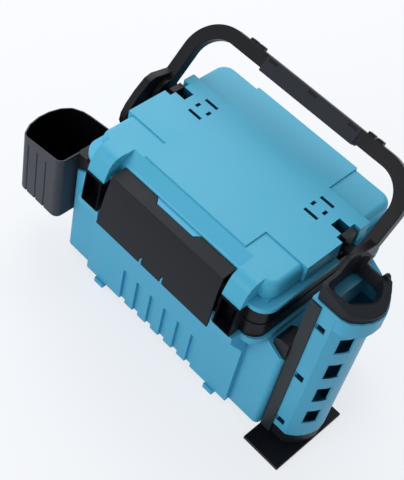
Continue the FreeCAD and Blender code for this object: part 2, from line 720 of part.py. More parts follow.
# The wide front latch: a bent sheet with a top flange, cheeks and knuckles at its foot.
def make_latch():
    latch = new_body("front_latch")
    add(latch, "YZ", [[
        ("-" + FLANGE_BACK, "latch_top"),
        ("-" + FLANGE_FRONT, "latch_lip"),
        ("-" + LATCH_BEND, "latch_bend"),
        ("-(%s + 1.6)" % LATCH_BEND, "latch_bend - 12"),
        ("-" + LATCH_FOOT, "latch_foot"),
        ("-(%s - latch_sheet)" % LATCH_FOOT, "latch_foot"),
        ("-(%s + 1.6 - latch_sheet)" % LATCH_BEND, "latch_bend - 12"),
        ("-(%s - latch_sheet)" % LATCH_BEND, "latch_bend"),
        ("-(%s - latch_sheet)" % FLANGE_FRONT, "latch_lip - latch_sheet"),
        ("-" + FLANGE_BACK, "latch_top - latch_sheet"),
    ]], "-latch_half_foot", "latch_half_foot")
    for name, sign in SIDES:
        near, far = sided(sign, "latch_half_top - 3", "latch_half_top")
        add(latch, "YZ", [[
            ("-latch_cheek_back", "latch_top - latch_sheet"),
            ("-latch_cheek_back", "latch_cheek_foot"),
            ("-(%s - latch_sheet - 4)" % LATCH_FOOT, "latch_cheek_foot"),
            ("-(%s + 1)" % LATCH_BEND, "latch_bend - 12"),
            ("-(%s - 1)" % LATCH_BEND, "latch_bend"),
            ("-(%s - 1)" % FLANGE_FRONT, "latch_lip - 1"),
        ]], near, far)
    taper = [
        ("latch_half_top", "latch_top + 1"),
        ("latch_half_foot", "latch_foot - 1"),
        ("latch_half_foot + 5", "latch_foot - 1"),
        ("latch_half_foot + 5", "latch_top + 1"),
    ]
    cut(latch, "XZ", [taper, mirrored(taper)], "-(%s + 1)" % LATCH_FOOT, "-(%s - 1)" % FLANGE_BACK)
    cut(latch, "XY", [[
        ("-finger_half_top", "-(%s - 1)" % FLANGE_BACK),
        ("-finger_half", "-(%s + finger_depth)" % FLANGE_BACK),
        ("finger_half", "-(%s + finger_depth)" % FLANGE_BACK),
        ("finger_half_top", "-(%s - 1)" % FLANGE_BACK),
    ]], "latch_top - 2 * latch_sheet", "latch_top")

    # Knuckles beside each rib of the tub, and the notches that the ribs stand in.
    for name, sign in SIDES:
        edge = "latch_notch_wide / 2"
        for start, end in (("latch_rib - %s - latch_knuckle" % edge, "latch_rib - %s" % edge),
                           ("latch_rib + %s" % edge, "latch_rib + %s + latch_knuckle" % edge)):
            near, far = sided(sign, start, end)
            add(latch, "YZ", [("-" + LATCH_AXIS, "latch_axis_rise", "latch_barrel")], near, far)
            cut(latch, "YZ", [("-" + LATCH_AXIS, "latch_axis_rise", "latch_pin + running")], near, far)
        near, far = sided(sign, "latch_rib - %s" % edge, "latch_rib + %s" % edge)
        cut(latch, "XZ", [box_points(near, far, "latch_foot", "latch_foot + latch_notch_high")],
            "-(%s + 1)" % LATCH_FOOT, "-(%s - 2 * latch_sheet)" % LATCH_FOOT)
    reach = "(latch_rib + latch_notch_wide / 2 + latch_knuckle)"
    NODES.append(rod("latch_pin", "latch_pin", "-" + reach, reach, "-" + LATCH_AXIS, "latch_axis_rise"))


# The carrying handle, drawn upright about its pivot and then leaned back.
def make_handle():
    handle = new_body("handle_bail")
    half_thick = "handle_thick / 2"
    add(handle, "XZ", [box_points("-handle_outer", "handle_outer", "0", HANDLE_END)],
        "-" + half_thick, half_thick)
    round_off(handle, "handle_corner",
              lambda edge: along(edge, 1) and edge.BoundBox.ZMin > value(HANDLE_END) - 1)
    inner_corner = "(handle_corner - (handle_outer - handle_inner))"
    cut(handle, "XZ", [("-handle_inner", "handle_inner", "-2 * " + inner_corner, HANDLE_CUT, inner_corner)],
        "-" + half_thick, half_thick)
    for name, sign in SIDES:
        near, far = sided(sign, "handle_inner", "handle_outer")
        add(handle, "YZ", [("0", "0", "hub_size")], near, far)
        near, far = sided(sign, "handle_outer - tail_wide", "handle_outer")
        add(handle, "YZ", [[
            ("-" + half_thick, "33"),
            ("-hub_size", "25"),
            ("-(hub_size + 17)", "16"),
            ("-(hub_size + 24.5)", "5"),
            ("-(hub_size + 27)", "-19"),
            ("-(hub_size + 26)", "-43"),
            ("-(hub_size + 22)", "-(tail_reach - 16.5)"),
            ("-(hub_size + 14)", "-(tail_reach - 4.5)"),
            ("-(hub_size + 6)", "-tail_reach"),
            ("-(hub_size - 2)", "-(tail_reach - 1)"),
            ("-(hub_size - 10)", "-40"),
            ("-2", "-22"),
            (half_thick, "-15"),
            (half_thick, "33"),
        ]], near, far)
        near, far = sided(sign, "handle_inner", "handle_outer")
        cut(handle, "YZ", [("0", "0", "pivot_pin + running")], near, far)
        loops = []
        for step in ("0", "loop_pitch"):
            near, far = sided(sign, "loop_inner + " + step, "loop_inner + loop_wide + " + step)
            loops.append(box_points(near, far, HANDLE_END + " - 1", HANDLE_END + " + loop_tall"))
        add(handle, "XZ", loops, "-(handle_thick / 2 - 3)", "handle_thick / 2 - 3")
    place(handle)

    # The grip wraps the bar on three sides and ends level with the bar's outer side.
    grip = new_body("grip_sleeve")
    grip_ends = ("grip_shift - grip_half", "grip_shift + grip_half")
    skin_out = "(%s + grip_cheek)" % half_thick
    add(grip, "XZ", [box_points(*grip_ends, HANDLE_CUT + " - grip_wall", HANDLE_END)],
        "-" + skin_out, skin_out)
    round_off(grip, "grip_cheek", lambda edge: along(edge, 0) or edge.BoundBox.ZMax < value(HANDLE_CUT))
    cut(grip, "YZ", [box_points("-(%s)" % half_thick, half_thick, HANDLE_CUT, HANDLE_END + " + 1")],
        *grip_ends)
    slots = []
    for step in (-1, 0, 1):
        middle = "(%d * grip_slot_spread + grip_shift)" % step
        slots.append(box_points(middle + " - grip_slot_long / 2", middle + " + grip_slot_long / 2",
                                HANDLE_END + " - grip_slot_inset - grip_slot_wide",
                                HANDLE_END + " - grip_slot_inset"))
    cut(grip, "XZ", slots, "-" + skin_out, "-" + half_thick)
    place(grip)


def place(piece):
    """Lean a piece that was drawn upright back to the handle's resting angle at its pivot."""
    piece.Placement = FreeCAD.Placement(FreeCAD.Vector(), FreeCAD.Rotation(FreeCAD.Vector(-1, 0, 0), 1))
    piece.setExpression("Placement.Base.y", bind("pivot_back"))
    piece.setExpression("Placement.Base.z", bind("pivot_rise"))
    piece.setExpression("Placement.Rotation.Angle", bind("90 - handle_rise_angle"))


# Lugs on the collar that stand up through the lid's notches, with pins and spacer bushes.
def make_pivots():
    lug_outer = "(collar_half - collar_wall)"
    for name, sign in SIDES:
        near, far = sided(sign, "lug_inner", lug_outer)
        lug = new_body("pivot_lug_" + name)
        add(lug, "YZ", [box_points("pivot_back - lug_half", "pivot_back + lug_half",
                                   "lug_seat", "lid_top - 0.5")],
            near, far)
        cut(lug, "YZ", [("pivot_back", "pivot_rise", "pivot_pin + running")], near, far)
        near, far = sided(sign, "lug_inner", "handle_outer")
        NODES.append(rod("pivot_pin_" + name, "pivot_pin", near, far, "pivot_back", "pivot_rise"))
        near, far = sided(sign, lug_outer, "handle_inner - clearance")
        bush = new_body("pivot_bush_" + name)
        add(bush, "YZ", [("pivot_back", "pivot_rise", "pivot_pin + bush_wall")], near, far)
        cut(bush, "YZ", [("pivot_back", "pivot_rise", "pivot_pin + running")], near, far)


# A bracket on each shoulder, with a T-shaped hook that the cup or the rod stand hangs on.
def make_brackets():
    seat = "(shoulder_start + (%s - bracket_cap) * (neck_start - shoulder_start) / (%s - neck_half))"
    seat = seat % (TUB_HALF, TUB_HALF)
    for label, sign, gap, skin in (("cup_bracket", -1, "cup_gap", "cup_wall"),
                                   ("stand_bracket", 1, "stand_gap", "strip_wall")):
        bracket = new_body(label)
        outline = [
            ("bracket_cap", seat),
            (TUB_HALF, "shoulder_start"),
            (TUB_HALF + " + gap_here - clearance", "shoulder_start"),
            (TUB_HALF + " + gap_here - clearance", "bracket_rise"),
            ("bracket_cap + 8", "bracket_rise"),
            ("bracket_cap", "bracket_rise - 6"),
        ]
        outline = [(u.replace("gap_here", gap), v) for u, v in outline]
        if sign < 0:
            outline = mirrored(outline)
        add(bracket, "XZ", [outline], "-bracket_front", "-bracket_back")
        wall_end = "(%s + %s + %s + clearance)" % (TUB_HALF, gap, skin)
        rise = "(hook_foot + hook_tall)"
        near, far = sided(sign, TUB_HALF, wall_end)
        add(bracket, "YZ", [box_points("-(hook_centre + hook_neck / 2)", "-(hook_centre - hook_neck / 2)",
                                       "hook_foot", rise)], near, far)
        near, far = sided(sign, wall_end, wall_end + " + hook_head_thick")
        add(bracket, "YZ", [box_points("-(hook_centre + hook_head / 2)", "-(hook_centre - hook_head / 2)",
                                       "hook_foot", rise)], near, far)


def keyhole(body, start, end):
    """Cut the hook's slot with its wider mouth one travel lower through a wall."""
    rise = "(hook_foot + hook_tall + clearance)"
    floor = "(hook_foot - hook_travel - clearance)"
    gap = "2 * clearance"
    cut(body, "YZ", [box_points("-(hook_centre + hook_neck / 2 + %s)" % gap,
                                "-(hook_centre - hook_neck / 2 - %s)" % gap, floor, rise)], start, end)
    cut(body, "YZ", [box_points("-(hook_centre + hook_head / 2 + %s)" % gap,
                                "-(hook_centre - hook_head / 2 - %s)" % gap,
                                floor, rise + " - hook_travel + clearance")], start, end)


# The black bait cup on the left side.
def make_cup():
    cup = new_body("cup")
    plan = [
        ("-" + CUP_IN, "-cup_front"),
        ("-(cup_outer - 19)", "-cup_front"),
        ("-(cup_outer - 5)", "-(cup_front - 23)"),
        ("-cup_outer", "-(cup_front - 45)"),
        ("-(cup_outer - 0.5)", "-(cup_back + 44)"),
        ("-(cup_outer - 6)", "-(cup_back + 24)"),
        ("-(cup_outer - 17)", "-(cup_back + 9)"),
        ("-(cup_outer - 36)", "-(cup_back + 1.5)"),
        ("-(cup_outer - 52)", "-cup_back"),
        ("-" + CUP_IN, "-cup_back"),
    ]
    add(cup, "XY", [plan], "cup_foot", "cup_rim")
    slope = [("-(%s - 1)" % CUP_IN, "cup_rim"), ("-(cup_outer + 1)", "cup_rim - cup_rim_fall"),
             ("-(cup_outer + 1)", "cup_rim + 1"), ("-(%s - 1)" % CUP_IN, "cup_rim + 1")]
    cut(cup, "XZ", [slope], "-(cup_front + 1)", "-(cup_back - 1)")
    round_off(cup, "cup_corner",
              lambda edge: along(edge, 2) and edge.BoundBox.XMin < -value(CUP_IN) - 1)
    round_off(cup, "cup_front_corner",
              lambda edge: along(edge, 2) and edge.BoundBox.YMin < -value("cup_front") + 1
              and edge.BoundBox.XMin > -value(CUP_IN) - 1)
    doc.recompute()
    solid = cup.Tip
    top = ["Face%d" % number for number, face in enumerate(solid.Shape.Faces, start=1)
           if face.normalAt(0, 0).z > 0.9]
    shell = cup.newObject("PartDesign::Thickness", "cup_shell")
    shell.Base = (solid, top)
    shell.setExpression("Value", bind("cup_wall"))
    shell.Reversed = True
    shell.Join = "Intersection"
    grooves = []
    for step in (0, 1, 2):
        spot = "-(cup_outer - 33 - %d * 21)" % step
        grooves.append(box_points(spot + " - cup_groove / 2", spot + " + cup_groove / 2",
                                  "-(cup_front + 1)", "-(cup_front - cup_wall / 2)"))
    cut(cup, "XY", grooves, "cup_foot", "cup_rim - cup_rim_fall - 8")
    keyhole(cup, "-(%s + cup_wall + 1)" % CUP_IN, "-(%s - 1)" % CUP_IN)


# The rod stand on the right side: strip, foot plate, tube in two shells, rim and funnel.
def make_stand():
    strip = new_body("stand_strip")
    wide = "(%s + strip_wide)" % STRIP_IN
    add(strip, "XY", [box_points(STRIP_IN, wide, "-strip_front", "-strip_back")], "plate_thick", "strip_top")
    cut(strip, "XY", [box_points(STRIP_IN + " + strip_wall", wide + " + 1",
                                 "-(strip_front - strip_wall)", "-(strip_back + strip_wall)")],
        "plate_thick + strip_wall", "strip_top - strip_wall")
    keyhole(strip, STRIP_IN + " - 1", STRIP_IN + " + strip_wall + 1")

    plate = new_body("stand_foot_plate")
    add(plate, "XY", [box_points(STRIP_IN, "plate_outer", "-plate_front", "plate_back")], "0", "plate_thick")

    stub = new_body("tube_base")
    add(stub, "XY", [tube_plan("1")], "plate_thick", "tube_foot")

    front_end = "-(tube_centre + tube_half + 1)"
    back_end = "-(tube_centre - tube_half - 1)"
    shells = (("tube_back_shell", "0", "tube_split"), ("tube_outer_shell", "tube_split", "tube_reach + 1"))
    for label, start, end in shells:
        shell = new_body(label)
        add(shell, "XY", [tube_plan("0")], "tube_foot", "tube_top")
        cut(shell, "XY", [tube_plan("tube_wall")], "tube_foot + tube_wall", "tube_top")
        side = (TUBE_IN + " - 1", "%s + %s" % (TUBE_IN, start))
        if start == "0":
            side = ("%s + %s" % (TUBE_IN, end), TUBE_IN + " + tube_reach + 1")
        keep_out = [box_points(*side, front_end, back_end)]
        cut(shell, "XY", keep_out, "tube_foot - 1", "tube_top + 1")
        if start == "0":
            feet = ["(flank_foot + %d * flank_pitch)" % step for step in range(3)]
            flanks = [box_points(TUBE_IN + " + 1", TUBE_IN + " + 1 + flank_wide",
                                 foot, foot + " + flank_tall")
                      for foot in feet]
            cut(shell, "XZ", flanks, front_end, "-(tube_centre + tube_half - tube_wall - 1)")
        else:
            for step in range(4):
                foot = "window_foot + %d * window_pitch" % step
                for edge_y in ((front_end, "-(tube_centre + window_half)"),
                               ("-(tube_centre - window_half)", back_end)):
                    window = box_points(TUBE_IN + " + window_inner", TUBE_IN + " + tube_reach + 1", *edge_y)
                    cut(shell, "XY", [window], foot, foot + " + window_tall")

    # The wider blue head round the tube's mouth; above the strip it reaches over the strip's top.
    head = new_body("tube_head")
    add(head, "XY", [head_plan(TUBE_IN)], "head_foot", "strip_top + clearance")
    add(head, "XY", [head_plan("(%s + 0.5)" % STRIP_IN)], "strip_top + clearance", "head_top")
    cut(head, "XY", [tube_plan("0")], "head_foot", "tube_top")
    cut(head, "XY", [rim_plan("head_wall")], "tube_top", "head_top")

    rim = new_body("tube_rim")
    add(rim, "XY", [rim_plan("0")], "head_top", "rim_top")
    loft(rim, "Subtractive", (hole_plan(), "head_top"), (rim_plan("rim_wall"), "rim_top"))
    cut(rim, "XZ", [[
        (TUBE_IN, "rim_top + 1"),
        (TUBE_IN, "rim_top"),
        ("rim_outer + 1", "rim_top - rim_fall"),
        ("rim_outer + 1", "rim_top + 1"),
    ]], "-(tube_centre + rim_half + 1)", "-(tube_centre - rim_half - 1)")
    back = "-(tube_centre - rim_half)"
    notch = box_points(STRIP_IN + " + 16.5", TUBE_IN + " + tube_split + 2", "rim_notch", "rim_top + 1")
    cut(rim, "XZ", [notch], back + " - rim_hole_back", back + " + 1")
    edge = "(%s + 3)" % STRIP_IN
    add(rim, "YZ", [[
        ("-(tube_centre + 9)", "rim_top - 6"),
        ("-(tube_centre + 9)", "rim_top"),
        ("-(tube_centre + 1)", "rim_top + rim_tab * 0.7"),
        ("-(tube_centre - 6)", "rim_top + rim_tab"),
        ("-(tube_centre - 16)", "rim_top + rim_tab"),
        ("-(tube_centre - 26)", "rim_top + rim_tab * 0.6"),
        ("-(tube_centre - 33)", "rim_top"),
        ("-(tube_centre - 33)", "rim_top - 6"),
    ]], edge, edge + " + rim_wall - 1")
    add(rim, "XZ", [[
        (TUBE_IN + " + 21", "head_top"),
        (TUBE_IN + " + 22", "rim_notch + 4"),
        (TUBE_IN + " + 25", "rim_notch + 12"),
        (TUBE_IN + " + 28.5", "rim_notch + 15"),
        (TUBE_IN + " + 32", "rim_notch + 13"),
        (TUBE_IN + " + 35", "rim_notch + 5"),
        (TUBE_IN + " + 37.5", "head_top"),
    ]], back + " - horn_thick", back + " - 0.5")

    # Teal liner seen through the rim: a floor over the strip and a sleeve down the tube.
    funnel = new_body("tube_funnel")
    add(funnel, "XY", [rim_plan("head_wall")], "tube_top", "tube_top + funnel_wall")
    add(funnel, "XY", [tube_plan("tube_wall")], "tube_top - funnel_deep", "tube_top")
    cut(funnel, "XY", [tube_plan("tube_wall + funnel_wall")],
        "tube_top - funnel_deep", "tube_top + funnel_wall")


def tube_plan(inset):
    """Level outline of the rod tube, flat flanks and a curved outer side, drawn in by an inset."""
    low = "(tube_centre + tube_half - %s)" % inset
    high = "(tube_centre - tube_half + %s)" % inset
    depth = "(tube_reach - tube_flat - %s)" % inset
    curve = [(0.27, 0.12), (0.50, 0.25), (0.74, 0.45), (0.92, 0.68), (1.0, 0.92)]
    outer = [(TUBE_IN + " + tube_flat + %s * %g" % (depth, reach), fall) for reach, fall in curve]
    fall_size = "(tube_half - %s)" % inset
    front = [(u, "-(%s - %s * %g)" % (low, fall_size, fall)) for u, fall in outer]
    back = [(u, "-(%s + %s * %g)" % (high, fall_size, fall)) for u, fall in outer[::-1]]
    return [
        (TUBE_IN + " + " + inset, "-" + low),
        (TUBE_IN + " + tube_flat", "-" + low),
        *front,
        *back,
        (TUBE_IN + " + tube_flat", "-" + high),
        (TUBE_IN + " + " + inset, "-" + high),
    ]


def rim_plan(inset, left=STRIP_IN + " + 3"):
    """Level outline of the head and the rim on top of the tube, drawn in by an inset."""
    low = "(tube_centre + rim_half - (%s))" % inset
    high = "(tube_centre - rim_half + (%s))" % inset
    left = "(%s + (%s))" % (left, inset)
    right = "(rim_outer - (%s))" % inset
    return [
        (left + " + 4", "-" + low),
        (right + " - 31", "-" + low),
        (right + " - 20", "-(%s - 4)" % low),
        (right + " - 9", "-(%s - 16)" % low),
        (right + " - 2", "-(%s - 29)" % low),
        (right, "-(%s - 40)" % low),
        (right, "-(%s + 40)" % high),
        (right + " - 5", "-(%s + 28)" % high),
        (right + " - 14", "-(%s + 13)" % high),
        (right + " - 23", "-(%s + 2)" % high),
        (right + " - 33", "-" + high),
        (left + " + 4", "-" + high),
        (left, "-(%s + 6)" % high),
        (left, "-(%s - 6)" % low),
    ]


def head_plan(left):
    """Level outline of the head round the tube's mouth, from a given left side."""
    outline = rim_plan("-2", left)
    return [(left, outline[0][1]), *outline[1:-3], (left, outline[-3][1])]


def hole_plan():
    """Level outline of the rod's hole at the foot of the rim's inner slope."""
    left = "(%s + 8.5)" % STRIP_IN
    right = "(rim_outer - 23)"
    low = "(tube_centre + rim_half - 26)"
    high = "(tube_centre - rim_half + 18)"
    return [
        (left + " + 5", "-" + low),
        (right + " - 19", "-" + low),
        (right + " - 6", "-(%s - 17)" % low),
        (right, "-(%s - 25)" % low),
        (right, "-(%s + 12)" % high),
        (right + " - 7", "-(%s + 3)" % high),
        (right + " - 21", "-" + high),
        (left + " + 5", "-" + high),
        (left, "-(%s + 6)" % high),
        (left, "-(%s - 6)" % low),
    ]


make_tub()
make_feet()
make_collar()
make_lid()
make_lid_pins()
make_latch()
make_handle()
make_pivots()
make_brackets()
make_cup()
make_stand()
doc.recompute()

# Check every object before anything is written.
for item in doc.Objects:
    if "Invalid" in item.State or "Error" in item.State:
        raise RuntimeError("%s failed: %s" % (item.Label, item.State))
    if item.TypeId == "PartDesign::Pocket" and item.BaseFeature is not None:
        removed = item.BaseFeature.Shape.Volume - item.Shape.Volume
        if removed < 0.1:
            raise RuntimeError("%s removes nothing" % item.Label)
os.makedirs("parts", exist_ok=True)
for node in NODES:
    shape = node.Shape
    if shape.isNull() or not shape.isValid() or not shape.Solids:
        raise RuntimeError("%s is not a sound solid" % node.Label)
    print("%-20s %d solid(s) %9.0f mm3" % (node.Label, len(shape.Solids), shape.Volume))
    shape.exportStep("parts/%s.step" % node.Label)
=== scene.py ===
import logging
import math
from dataclasses import dataclass, field
from enum import Enum
from typing import Dict, List, Optional, Tuple

import bpy
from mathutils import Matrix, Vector


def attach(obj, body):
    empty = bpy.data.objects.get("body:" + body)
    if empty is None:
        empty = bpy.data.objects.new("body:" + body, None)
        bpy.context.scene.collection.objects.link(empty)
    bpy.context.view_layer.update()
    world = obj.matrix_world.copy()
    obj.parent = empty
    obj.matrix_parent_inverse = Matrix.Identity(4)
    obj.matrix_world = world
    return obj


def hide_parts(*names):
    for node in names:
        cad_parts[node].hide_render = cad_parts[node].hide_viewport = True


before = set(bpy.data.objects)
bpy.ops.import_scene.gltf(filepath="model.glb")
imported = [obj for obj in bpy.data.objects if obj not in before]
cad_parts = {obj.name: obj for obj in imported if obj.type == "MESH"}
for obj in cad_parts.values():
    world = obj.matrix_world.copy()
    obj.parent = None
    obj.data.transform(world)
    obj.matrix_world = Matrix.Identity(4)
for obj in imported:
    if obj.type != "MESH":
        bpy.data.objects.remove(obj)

log = logging.getLogger("seat_box")
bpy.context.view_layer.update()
MERGE_DISTANCE = 0.00001
FLAT_ANGLE = math.radians(0.6)
CLOUD_SCALE = 9.0
CLOUD_DETAIL = 5.0
GRAIN_DETAIL = 3.0
RELIEF_DEPTH = 0.0004
Colour = Tuple[float, float, float]
Point = Tuple[float, float, float]


class Grain(Enum):
    """How the surface of a finish is textured."""

    SPARK = "spark"
    SMOOTH = "smooth"
    BRUSHED = "brushed"


def linear(red: int, green: int, blue: int) -> Colour:
    """Turn a colour given as 0 to 255 display values into linear values.

    Args:
        red: Red display value.
        green: Green display value.
        blue: Blue display value.

    Returns:
        The same colour as linear values from 0 to 1.
    """
    parts = []
    for value in (red, green, blue):
        share = value / 255
        parts.append(share / 12.92 if share <= 0.04045 else ((share + 0.055) / 1.055) ** 2.4)
    return parts[0], parts[1], parts[2]


@dataclass(frozen=True)
class Finish:
    """A moulded or metal finish with grain, soft colour variation and rubbed patches."""

    name: str
    colour: Colour
    worn: Colour
    roughness: float
    grain: Grain = Grain.SPARK
    grain_size: float = 0.0011
    bump: float = 0.12
    metallic: float = 0.0
    specular: float = 0.5
    variation: float = 0.5

    def build(self) -> bpy.types.Material:
        """Make the node material, or return it if it is made already.

        Returns:
            The material.
        """
        if self.name in bpy.data.materials:
            return bpy.data.materials[self.name]
        material = bpy.data.materials.new(self.name)
        material.use_nodes = True
        nodes = material.node_tree.nodes
        links = material.node_tree.links
        shader = nodes["Principled BSDF"]
        shader.inputs["Metallic"].default_value = self.metallic
        shader.inputs["Specular IOR Level"].default_value = self.specular
        place = nodes.new("ShaderNodeTexCoord")

        clouds = nodes.new("ShaderNodeTexNoise")
        clouds.inputs["Scale"].default_value = CLOUD_SCALE
        clouds.inputs["Detail"].default_value = CLOUD_DETAIL
        links.new(place.outputs["Object"], clouds.inputs["Vector"])
        tint = nodes.new("ShaderNodeMixRGB")
        tint.inputs["Color1"].default_value = (*self.colour, 1)
        tint.inputs["Color2"].default_value = (*self.worn, 1)
        spread = nodes.new("ShaderNodeMapRange")
        spread.inputs["From Min"].default_value = 0.35
        spread.inputs["From Max"].default_value = 0.75
        spread.inputs["To Max"].default_value = self.variation
        links.new(clouds.outputs["Fac"], spread.inputs["Value"])
        links.new(spread.outputs["Result"], tint.inputs["Fac"])
        links.new(tint.outputs["Color"], shader.inputs["Base Color"])

        fine = nodes.new("ShaderNodeTexNoise")
        fine.inputs["Scale"].default_value = 1 / self.grain_size
        fine.inputs["Detail"].default_value = GRAIN_DETAIL
        if self.grain is Grain.BRUSHED:
            stretch = nodes.new("ShaderNodeMapping")
            stretch.inputs["Scale"].default_value = (0.05, 1.0, 1.0)
            links.new(place.outputs["Object"], stretch.inputs["Vector"])
            links.new(stretch.outputs["Vector"], fine.inputs["Vector"])
        else:
            links.new(place.outputs["Object"], fine.inputs["Vector"])
        gloss = nodes.new("ShaderNodeMapRange")
        gloss.inputs["From Min"].default_value = 0.3
        gloss.inputs["From Max"].default_value = 0.7
        gloss.inputs["To Min"].default_value = self.roughness - 0.05
        gloss.inputs["To Max"].default_value = self.roughness + 0.08
        links.new(clouds.outputs["Fac"], gloss.inputs["Value"])
        links.new(gloss.outputs["Result"], shader.inputs["Roughness"])
        if self.grain is not Grain.SMOOTH:
            relief = nodes.new("ShaderNodeBump")
            relief.inputs["Strength"].default_value = self.bump
            relief.inputs["Distance"].default_value = RELIEF_DEPTH
            links.new(fine.outputs["Fac"], relief.inputs["Height"])
            links.new(relief.outputs["Normal"], shader.inputs["Normal"])
        return material


BLUE = Finish("blue_moulding", linear(76, 178, 212), linear(85, 184, 216), 0.40, specular=0.28)
BLUE_TUB = Finish("blue_tub_moulding", linear(75, 171, 207), linear(84, 177, 211), 0.42, specular=0.26)
# Blue darkened as painted shade on the walls of the lid's slots and notch stems and inside the tube's
# shells.
BLUE_PAINTED_SHADE = Finish("blue_in_shade", linear(24, 76, 102), linear(28, 84, 110), 0.60, specular=0.05)
BLACK = Finish("black_moulding", linear(22, 26, 32), linear(29, 33, 39), 0.42, bump=0.16, specular=0.16)
BLACK_SOFT = Finish("black_grip", linear(38, 41, 48), linear(46, 49, 56), 0.52, bump=0.22, specular=0.16)
BLACK_BAIL = Finish("black_bail", linear(13, 13, 19), linear(19, 19, 25), 0.36, bump=0.14, specular=0.14)
# The cup's black plastic, with its base colour lifted lighter as a painted sheen of the front light.
BLACK_CUP_PAINTED_SHEEN = Finish("black_cup_painted_sheen", linear(56, 59, 68), linear(64, 67, 76), 0.45, bump=0.16, specular=0.20)
BLACK_STRIP = Finish("black_strip", linear(38, 47, 52), linear(46, 55, 60), 0.45, bump=0.16, specular=0.16)
# Near black as painted shade in the collar's socket pits and inside the cup.
BLACK_PAINTED_SHADE = Finish("black_in_shade", linear(6, 6, 10), linear(9, 9, 14), 0.60, bump=0.16, specular=0.04)
# Blue plastic darkened to teal as painted shade on the funnel inside the tube head.
FUNNEL_PAINTED_SHADE = Finish("teal_insert", linear(4, 64, 94), linear(8, 74, 106), 0.35, Grain.SMOOTH)
RUBBER = Finish("rubber_pad", linear(34, 34, 36), linear(48, 48, 50), 0.75, bump=0.3)
STEEL = Finish("steel_pin", linear(168, 170, 174), linear(140, 142, 148), 0.30, Grain.BRUSHED, metallic=1.0)


def deselect_all() -> None:
    """Leave object mode's selection empty."""
    if bpy.context.object and bpy.context.object.mode != "OBJECT":
        bpy.ops.object.mode_set(mode="OBJECT")
    bpy.ops.object.select_all(action="DESELECT")


def pick(piece: bpy.types.Object) -> None:
    """Make one object the selected and active one.

    Args:
        piece: The object to work on.
    """
    deselect_all()
    piece.select_set(True)
    bpy.context.view_layer.objects.active = piece


def apply_modifier(piece: bpy.types.Object, kind: str, **settings: object) -> None:
    """Add a modifier with settings and apply it.

    Args:
        piece: The object that gets the modifier.
        kind: Blender's modifier type.
        **settings: Values set on the modifier.
    """
    pick(piece)
    modifier = piece.modifiers.new(kind.lower(), kind)
    for name, value in settings.items():
        setattr(modifier, name, value)
    bpy.ops.object.modifier_apply(modifier=modifier.name)


def dress(piece: bpy.types.Object, finish: Finish) -> None:
    """Give a piece one finish all over.

    Args:
        piece: The piece.
        finish: Its finish.
    """
    piece.data.materials.clear()
    piece.data.materials.append(finish.build())


@dataclass(frozen=True)
class Region:
    """A box of space in which faces get a darker finish as painted shade."""

    low: Point
    high: Point
    finish: Finish
    middle: Optional[Tuple[float, float]] = None

    def holds(self, face: bpy.types.MeshPolygon) -> bool:
        """Tell whether a face belongs to the region.

        Args:
            face: The face, with its centre and normal in the shared frame.

        Returns:
            True if the centre is in the box and the face looks towards the middle, if one is given.
        """
        if not all(low <= spot <= high for low, spot, high in zip(self.low, face.center, self.high)):
            return False
        if self.middle is None:
            return True
        inward = Vector((self.middle[0] - face.center.x, self.middle[1] - face.center.y, 0))
        return inward.dot(face.normal) > 0


@dataclass
class Moulding:
    """A visible piece that follows one CAD node, with rounded edges."""

    node: str
    body: str
    slot: str
    finish: Finish
    edge_radius: float = 0.0012
    segments: int = 2
    angle: float = 28.0
    smooth_angle: float = 40.0
    # Boxes whose faces get painted shade.
    regions: Tuple[Region, ...] = ()

    def copy_form(self) -> bpy.types.Object:
        """Copy the node's form as a clean mesh with flat faces joined.

        Returns:
            The new object at the origin.
        """
        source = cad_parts[self.node]
        piece = bpy.data.objects.new(self.node + "_shell", source.data.copy())
        bpy.context.scene.collection.objects.link(piece)
        pick(piece)
        bpy.ops.object.mode_set(mode="EDIT")
        bpy.ops.mesh.select_all(action="SELECT")
        bpy.ops.mesh.remove_doubles(threshold=MERGE_DISTANCE)
        bpy.ops.mesh.dissolve_limited(angle_limit=FLAT_ANGLE)
        bpy.ops.object.mode_set(mode="OBJECT")
        for name in [layer.name for layer in piece.data.uv_layers]:
            piece.data.uv_layers.remove(piece.data.uv_layers[name])
        return piece

    def build(self) -> bpy.types.Object:
        """Make the piece, round its edges, dress it and seat it on its body.

        Returns:
            The finished piece.
        """
        piece = self.copy_form()
        if self.edge_radius > 0:
            apply_modifier(piece, "BEVEL", width=self.edge_radius, segments=self.segments,
                           limit_method="ANGLE", angle_limit=math.radians(self.angle),
                           use_clamp_overlap=True, harden_normals=False, miter_outer="MITER_ARC")
        pick(piece)
        bpy.ops.object.shade_smooth_by_angle(angle=math.radians(self.smooth_angle))
        apply_modifier(piece, "WEIGHTED_NORMAL", mode="FACE_AREA", weight=50, keep_sharp=True)
        dress(piece, self.finish)
        self.paint(piece)
        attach(piece, self.body)
        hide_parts(self.node)
        log.info("%s: %d faces", piece.name, len(piece.data.polygons))
        return piece

    def paint(self, piece: bpy.types.Object) -> None:
        """Paint shade on the faces of each region by giving them the region's darker finish.

        Args:
            piece: The piece to paint.
        """
        for index, region in enumerate(self.regions, start=1):
            piece.data.materials.append(region.finish.build())
            for face in piece.data.polygons:
                if region.holds(face):
                    face.material_index = index


